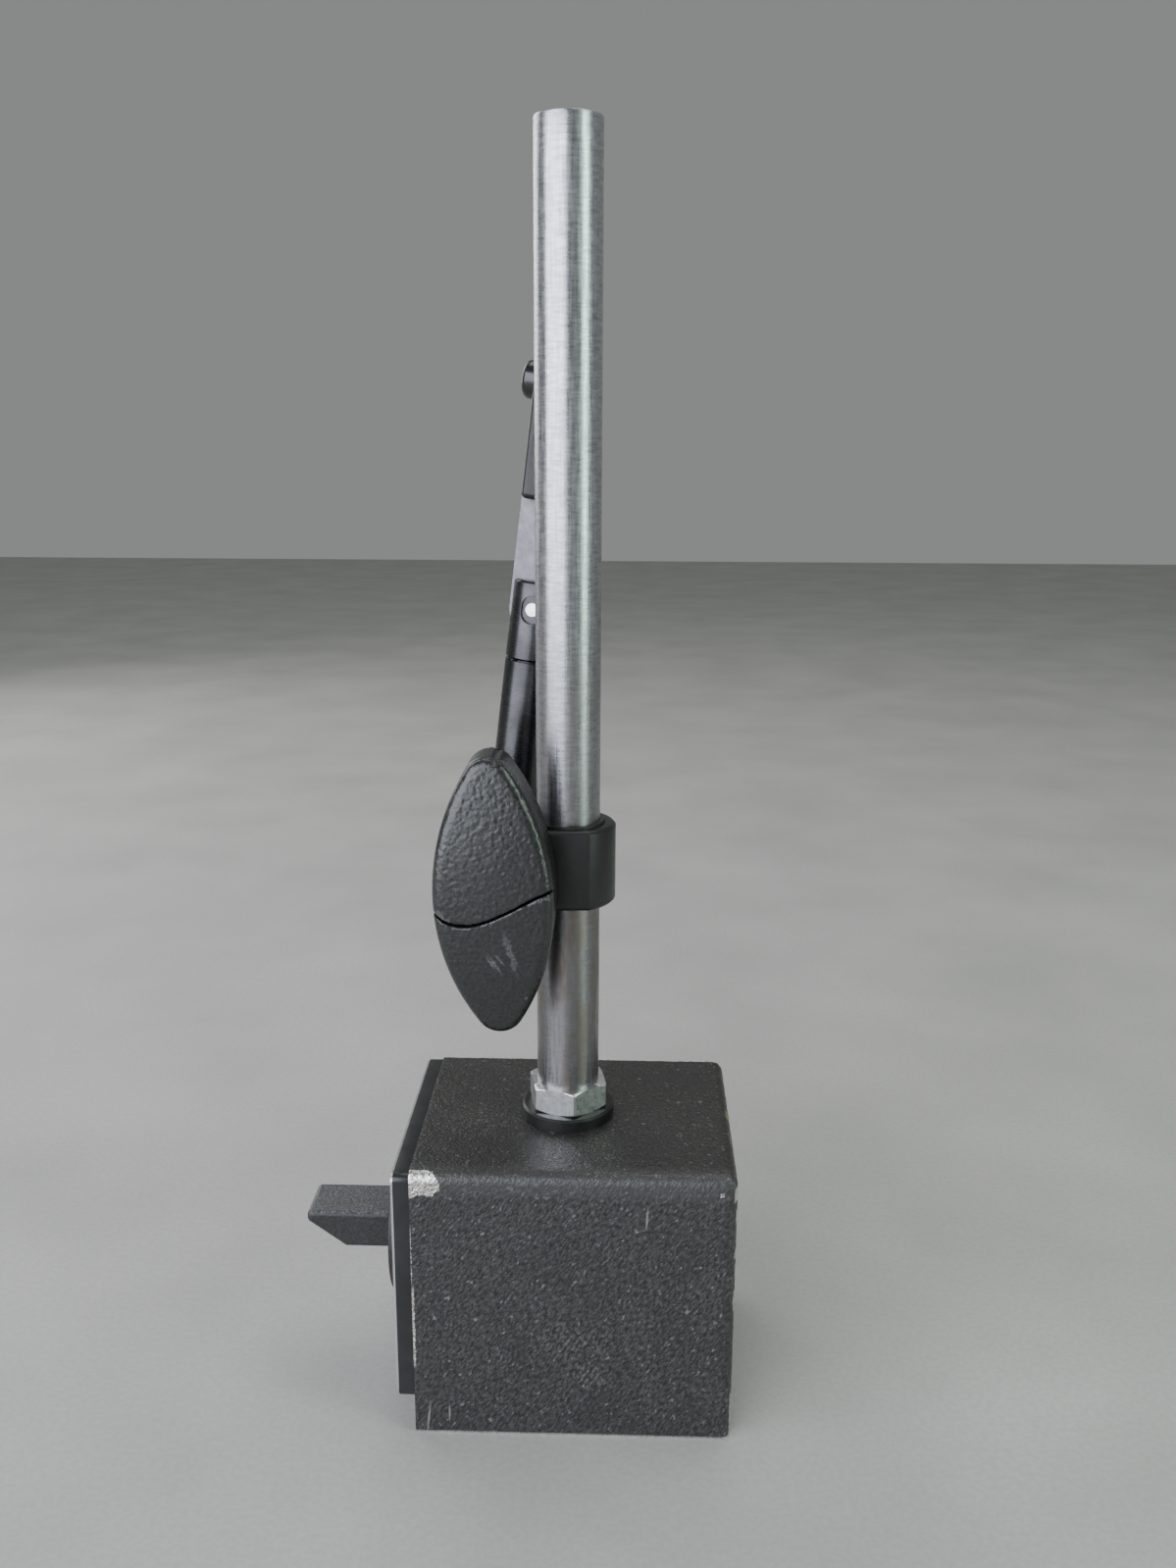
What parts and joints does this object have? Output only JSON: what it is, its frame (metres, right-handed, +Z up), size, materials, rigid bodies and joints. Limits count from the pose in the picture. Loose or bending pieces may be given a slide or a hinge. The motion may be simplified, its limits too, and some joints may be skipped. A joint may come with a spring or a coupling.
{
  "type": "magnetic stand",
  "caption": "Switchable magnetic block with an upright post and a one-knob clamp that carries a short jointed arm with a gauge clamp at its tip.",
  "frame": {"origin": "middle of the block's footprint, on the surface it stands on", "axes": "+X along the block away from the switch, +Y towards the back, +Z up the post"},
  "size_m": [0.084, 0.05, 0.2371],
  "materials": {
    "block_paint": "hammered black paint",
    "spacer_brass": "satin",
    "plate_black": "satin",
    "label_aluminium": "brushed",
    "fastener_zinc": "bright zinc",
    "bush_bronze": "satin",
    "pin_steel": "polished",
    "shaft_steel": "turned",
    "shoe_iron": "machined",
    "magnet": "matt ceramic",
    "grip_plastic": "fine grain",
    "black_steel": "black oxide",
    "post_steel": "ground, worn",
    "liner_plastic": "smooth",
    "knob_plastic": "leather grain",
    "arm_steel": "dark nickel",
    "link_steel": "satin"
  },
  "bodies": {
    "base": {"front_pole": "block_paint", "rear_pole": "block_paint", "top_spacer": "spacer_brass", "bottom_spacer": "spacer_brass", "end_plate": "plate_black", "label_plate": "label_aluminium", "plate_screws": "fastener_zinc", "front_bush": "bush_bronze", "rear_bush": "bush_bronze", "bore_plug": "block_paint", "stop_pin": "pin_steel", "base_washer": "black_steel", "lock_nut": "fastener_zinc", "post": "post_steel"},
    "switch": {"rotor_shaft": "shaft_steel", "rotor_magnet": "magnet", "front_shoe": "shoe_iron", "rear_shoe": "shoe_iron", "rotor_end_cap": "shaft_steel", "rotor_rivets": "pin_steel", "switch_knob": "grip_plastic", "knob_pin": "pin_steel"},
    "slider": {"clamp_liner": "liner_plastic"},
    "collar": {"clamp_collar": "black_steel", "clamp_bolt": "black_steel", "thrust_washer": "black_steel", "friction_disc": "liner_plastic"},
    "lock_lever": {"lock_knob": "knob_plastic", "knob_cap": "knob_plastic", "knob_insert": "bush_bronze"},
    "arm": {"arm_hub": "black_steel", "arm_tube": "arm_steel", "push_rod": "shaft_steel", "thrust_ball": "pin_steel"},
    "fork": {"swivel_fork": "arm_steel", "fork_keeper": "pin_steel", "joint_pin": "pin_steel"},
    "tilt_head": {"tilt_link": "link_steel", "gauge_clamp": "black_steel", "link_rivets": "pin_steel"},
    "screw": {"gauge_screw": "arm_steel"}
  },
  "joints": [
    {"name": "switch_turn", "type": "hinge", "parent": "base", "child": "switch", "pos_m": [-0.033, 0, 0.031], "axis": [1, 0, 0], "range_deg": [0, 90]},
    {"name": "post_slide", "type": "slide", "parent": "base", "child": "slider", "axis": [0, 0, 1], "range_m": [-0.024, 0.12]},
    {"name": "collar_swivel", "type": "hinge", "parent": "slider", "child": "collar", "pos_m": [-0.002, 0, 0.1073], "axis": [0, 0, 1], "continuous": true},
    {"name": "lock_turn", "type": "hinge", "parent": "collar", "child": "lock_lever", "pos_m": [-0.0145, -0.009, 0.1052], "axis": [0, -1, 0], "range_deg": [0, 180]},
    {"name": "arm_swing", "type": "hinge", "parent": "collar", "child": "arm", "pos_m": [-0.0145, 0.0141, 0.1052], "axis": [0, 1, 0], "range_deg": [-110, 95]},
    {"name": "fork_swivel", "type": "hinge", "parent": "arm", "child": "fork", "pos_m": [-0.00953, 0.0141, 0.1457], "axis": [0.1219, 0, 0.9925], "continuous": true},
    {"name": "head_tilt", "type": "hinge", "parent": "fork", "child": "tilt_head", "pos_m": [-0.00859, 0.0141, 0.15334], "axis": [0.1724, 0.9848, -0.0212], "range_deg": [-85, 85]},
    {"name": "screw_turn", "type": "hinge", "parent": "tilt_head", "child": "screw", "pos_m": [-0.008, 0.0149, 0.19528], "axis": [-0.9775, 0.1736, 0.12], "range_deg": [0, 360]}
  ]
}
